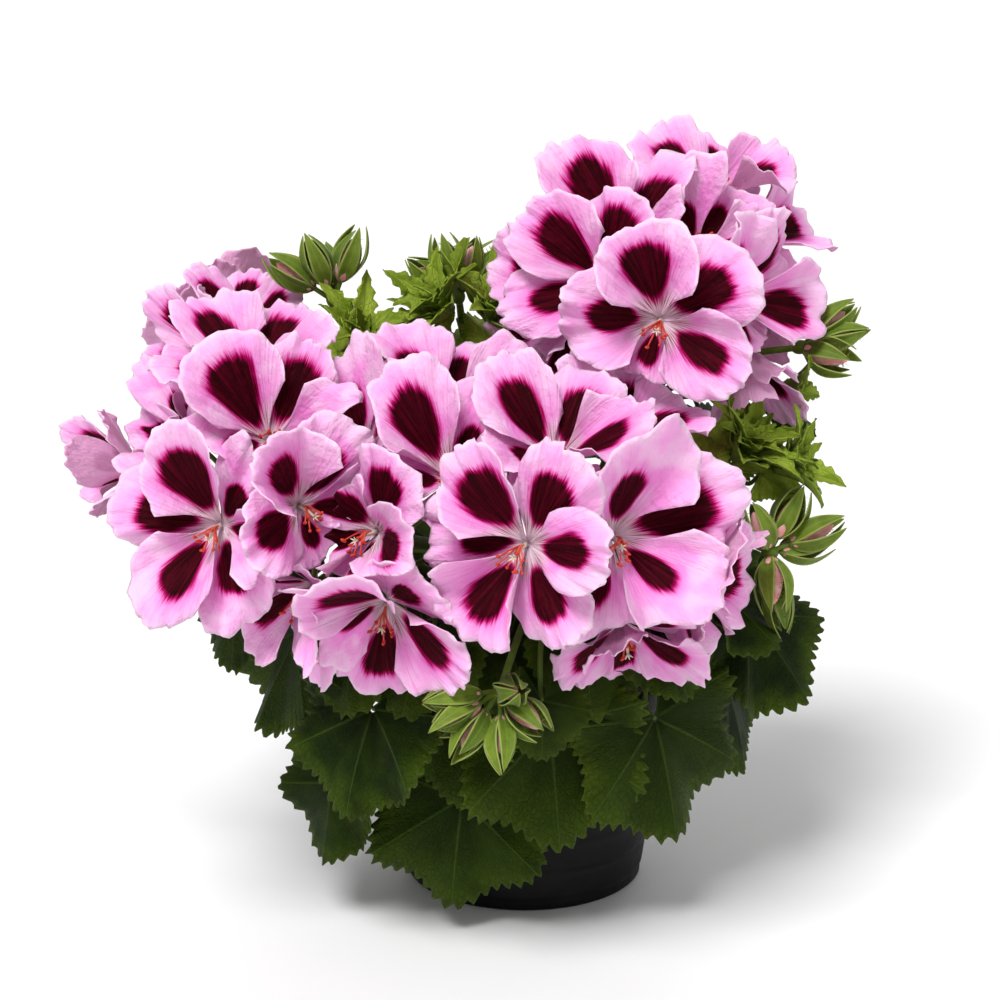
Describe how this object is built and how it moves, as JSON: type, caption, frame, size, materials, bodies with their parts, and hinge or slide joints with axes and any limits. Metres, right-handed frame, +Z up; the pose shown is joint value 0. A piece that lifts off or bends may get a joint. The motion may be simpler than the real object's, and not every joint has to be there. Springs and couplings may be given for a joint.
{
  "type": "potted flowering pelargonium",
  "caption": "Regal pelargonium in a round black nursery pot: leafy shoots with toothed leaves and bud clusters, topped by heads of wide ruffled blooms with dark blotches.",
  "frame": {"origin": "centre of the pot's flat base, on the surface that it stands on", "axes": "+Z up through the pot, -Y towards the front of the plant, +X to the viewer's right"},
  "size_m": [0.283, 0.2319, 0.2742],
  "materials": {
    "pot_plastic": "matt black nursery plastic",
    "compost": "moist dark peat compost",
    "bark": "rough brown bark",
    "foliage": "softly hairy green leaf",
    "petals": "satin petal"
  },
  "bodies": {
    "root": {"pot": "pot_plastic", "compost": "compost", "woody_crown": "bark", "bloom_tall_front": "petals", "bloom_tall_left": "petals", "bloom_tall_upper_front": "petals", "bloom_tall_upper_right": "petals", "bloom_tall_top": "petals", "bloom_tall_upper_left": "petals", "bloom_tall_right": "petals", "bloom_tall_front_right": "petals", "bloom_tall_side": "petals", "bloom_tall_drooping": "petals", "bloom_tall_inner_left": "petals", "bloom_tall_back_right": "petals", "bloom_tall_back_left": "petals", "bloom_right_front": "petals", "bloom_right_main": "petals", "bloom_right_side": "petals", "bloom_right_lower": "petals", "bloom_right_upper": "petals", "bloom_right_top": "petals", "bloom_middle_upper": "petals", "bloom_middle_top": "petals", "bloom_middle_front": "petals", "bloom_middle_lower": "petals", "bloom_middle_left": "petals", "bloom_middle_back": "petals", "bloom_left_front": "petals", "bloom_left_upper": "petals", "bloom_left_top": "petals", "bloom_left_side": "petals", "bloom_left_outer": "petals", "bloom_left_inner": "petals", "bloom_far_upper": "petals", "bloom_far_front": "petals", "bloom_far_back": "petals", "shoot_tall": "foliage", "shoot_right": "foliage", "shoot_middle": "foliage", "shoot_left": "foliage", "shoot_far": "foliage", "shoot_young": "foliage", "shoot_top_left": "foliage", "shoot_top_middle": "foliage", "shoot_back": "foliage"}
  },
  "joints": []
}
